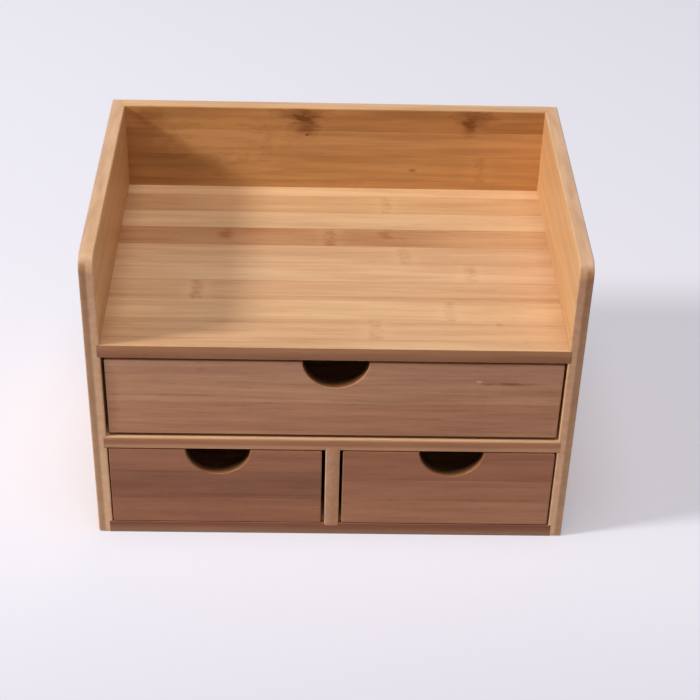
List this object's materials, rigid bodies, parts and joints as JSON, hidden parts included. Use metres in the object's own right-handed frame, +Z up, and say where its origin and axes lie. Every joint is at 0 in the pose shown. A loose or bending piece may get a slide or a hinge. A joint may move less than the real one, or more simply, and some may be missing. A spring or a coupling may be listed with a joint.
{
  "type": "desktop mini drawers",
  "caption": "Desktop case of laminated bamboo boards with a walled tray on top and inset drawers under it, pulled open by half-round finger cut-outs.",
  "frame": {"origin": "on the surface the case stands on, under the centre of its footprint", "axes": "+X to the right as seen from the front, -Y out of the front, the way the drawers open, +Z up"},
  "size_m": [0.33, 0.22, 0.23],
  "materials": {
    "shelf_bamboo": "clear satin lacquer over carbonised bamboo",
    "side_bamboo": "clear satin lacquer over carbonised bamboo",
    "back_bamboo": "clear satin lacquer over carbonised bamboo",
    "front_bamboo": "clear satin lacquer over carbonised bamboo",
    "box_bamboo": "sanded, thinly lacquered",
    "panel_bamboo": "sanded, thinly lacquered"
  },
  "bodies": {
    "case": {"left_side_panel": "side_bamboo", "right_side_panel": "side_bamboo", "back_panel": "back_bamboo", "top_shelf": "shelf_bamboo", "middle_board": "shelf_bamboo", "bottom_board": "shelf_bamboo", "centre_divider": "side_bamboo"},
    "upper_drawer": {"upper_drawer_front": "front_bamboo", "upper_drawer_left_side": "box_bamboo", "upper_drawer_right_side": "box_bamboo", "upper_drawer_back": "box_bamboo", "upper_drawer_bottom": "panel_bamboo"},
    "lower_left_drawer": {"lower_left_drawer_front": "front_bamboo", "lower_left_drawer_left_side": "box_bamboo", "lower_left_drawer_right_side": "box_bamboo", "lower_left_drawer_back": "box_bamboo", "lower_left_drawer_bottom": "panel_bamboo"},
    "lower_right_drawer": {"lower_right_drawer_front": "front_bamboo", "lower_right_drawer_left_side": "box_bamboo", "lower_right_drawer_right_side": "box_bamboo", "lower_right_drawer_back": "box_bamboo", "lower_right_drawer_bottom": "panel_bamboo"}
  },
  "joints": [
    {"name": "upper_drawer_slide", "type": "slide", "parent": "case", "child": "upper_drawer", "axis": [0, -1, 0], "range_m": [0, 0.16]},
    {"name": "lower_left_drawer_slide", "type": "slide", "parent": "case", "child": "lower_left_drawer", "axis": [0, -1, 0], "range_m": [0, 0.16]},
    {"name": "lower_right_drawer_slide", "type": "slide", "parent": "case", "child": "lower_right_drawer", "axis": [0, -1, 0], "range_m": [0, 0.16]}
  ]
}
